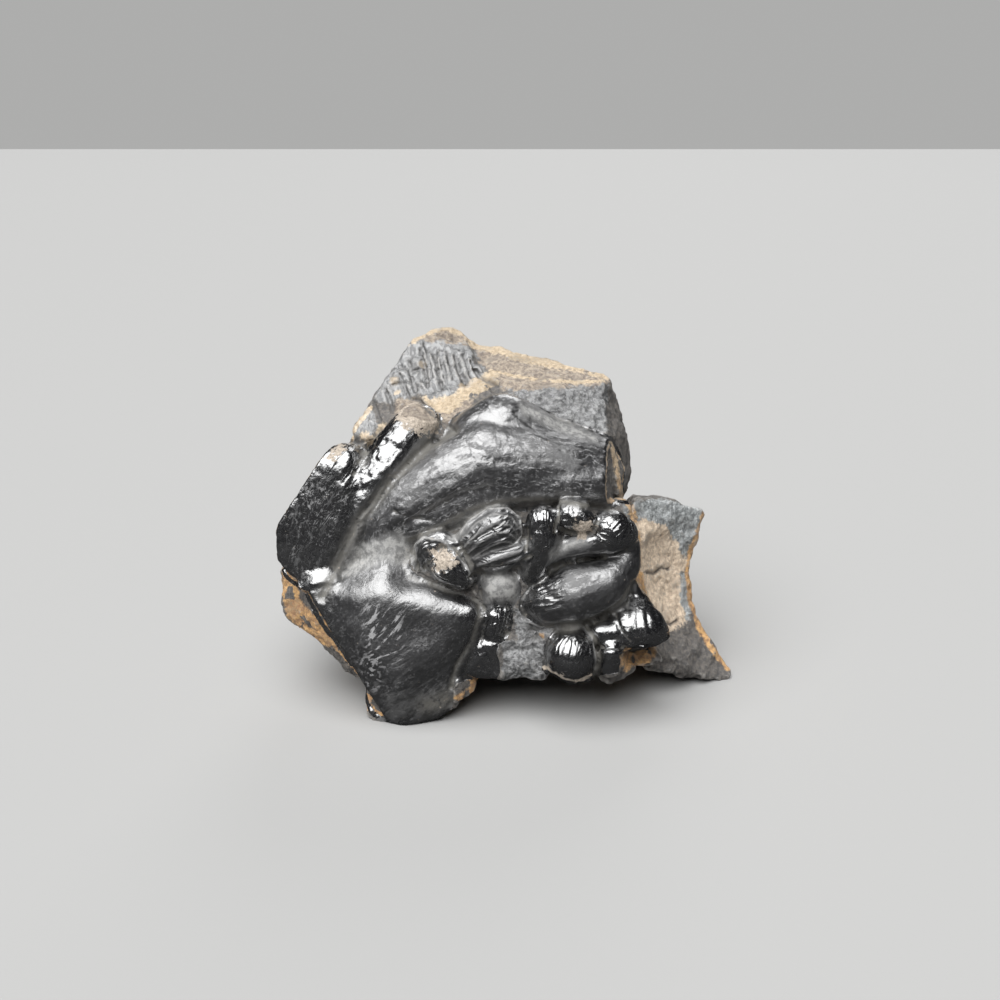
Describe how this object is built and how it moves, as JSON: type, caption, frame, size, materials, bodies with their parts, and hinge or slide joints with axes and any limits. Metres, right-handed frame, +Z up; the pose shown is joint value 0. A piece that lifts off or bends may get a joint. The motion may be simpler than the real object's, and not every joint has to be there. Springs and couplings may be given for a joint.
{
  "type": "rough hematite stone",
  "caption": "Rough lump of botryoidal iron ore: soft glossy black folds over broken brown rock, leaning back and standing on small flat feet.",
  "frame": {"origin": "middle of the stone's own box, on the surface that it stands on", "axes": "+Z up, the folded face looks along -Y and leans back, +X to the right of someone facing it"},
  "size_m": [0.0962, 0.0652, 0.072],
  "materials": {
    "stone": "glossy black metallic crust on its folds, dull grey-brown rock with ochre rims where it is broken"
  },
  "bodies": {
    "root": {"hematite": "stone"}
  },
  "joints": []
}
